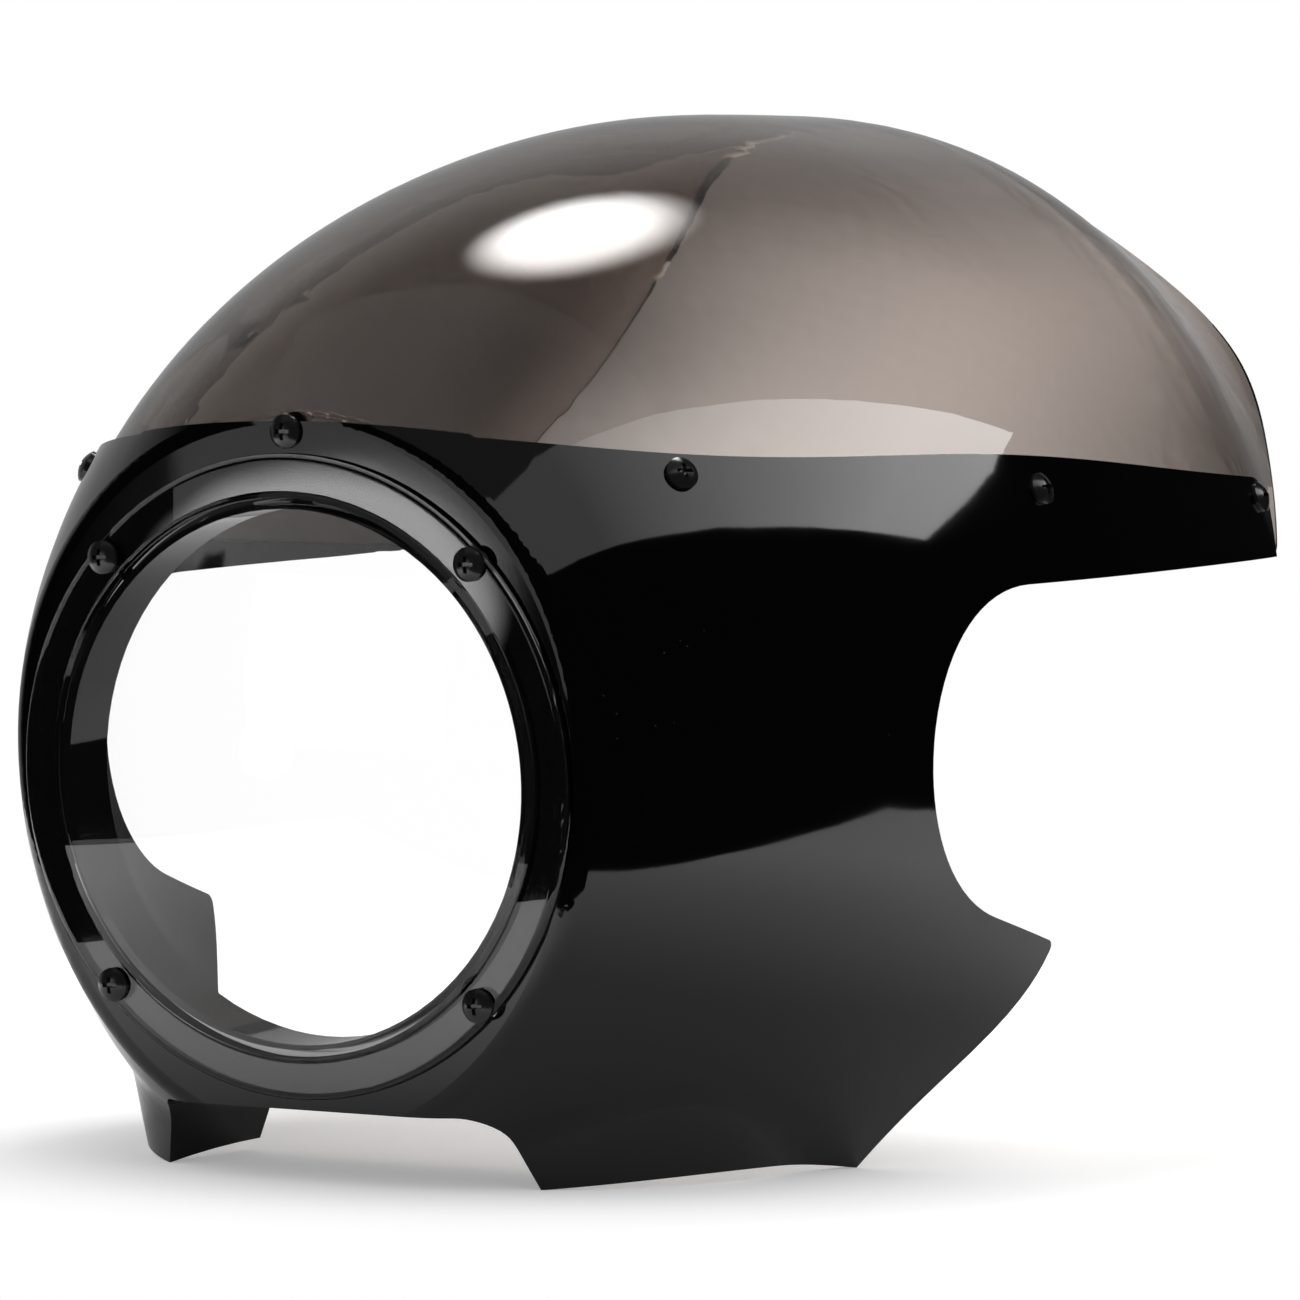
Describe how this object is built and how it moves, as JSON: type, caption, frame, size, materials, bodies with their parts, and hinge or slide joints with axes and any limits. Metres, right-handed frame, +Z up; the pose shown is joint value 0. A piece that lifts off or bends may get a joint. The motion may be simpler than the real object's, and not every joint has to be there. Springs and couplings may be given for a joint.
{
  "type": "headlight cowl",
  "caption": "Moulded black headlight cowl for a motorbike, with a clear round lens in front and a smoked bubble windscreen screwed inside its top edge.",
  "frame": {"origin": "centre of the round headlight opening, on the shell's front face", "axes": "+Y rearwards, +Z up as the cowl stands on its two wings, +X to the rider's left"},
  "size_m": [0.3488, 0.4192, 0.3448],
  "materials": {
    "gloss_black_abs": "gloss",
    "smoked_acrylic": "gloss",
    "clear_acrylic": "gloss",
    "black_steel": "satin",
    "zinc_steel": "satin"
  },
  "bodies": {
    "root": {"cowl_shell": "gloss_black_abs", "windscreen": "smoked_acrylic", "headlight_lens": "clear_acrylic", "lens_screws": "black_steel", "windscreen_screws": "black_steel", "lens_washers": "zinc_steel", "lens_nuts": "zinc_steel", "windscreen_washers": "zinc_steel", "windscreen_nuts": "zinc_steel"}
  },
  "joints": []
}
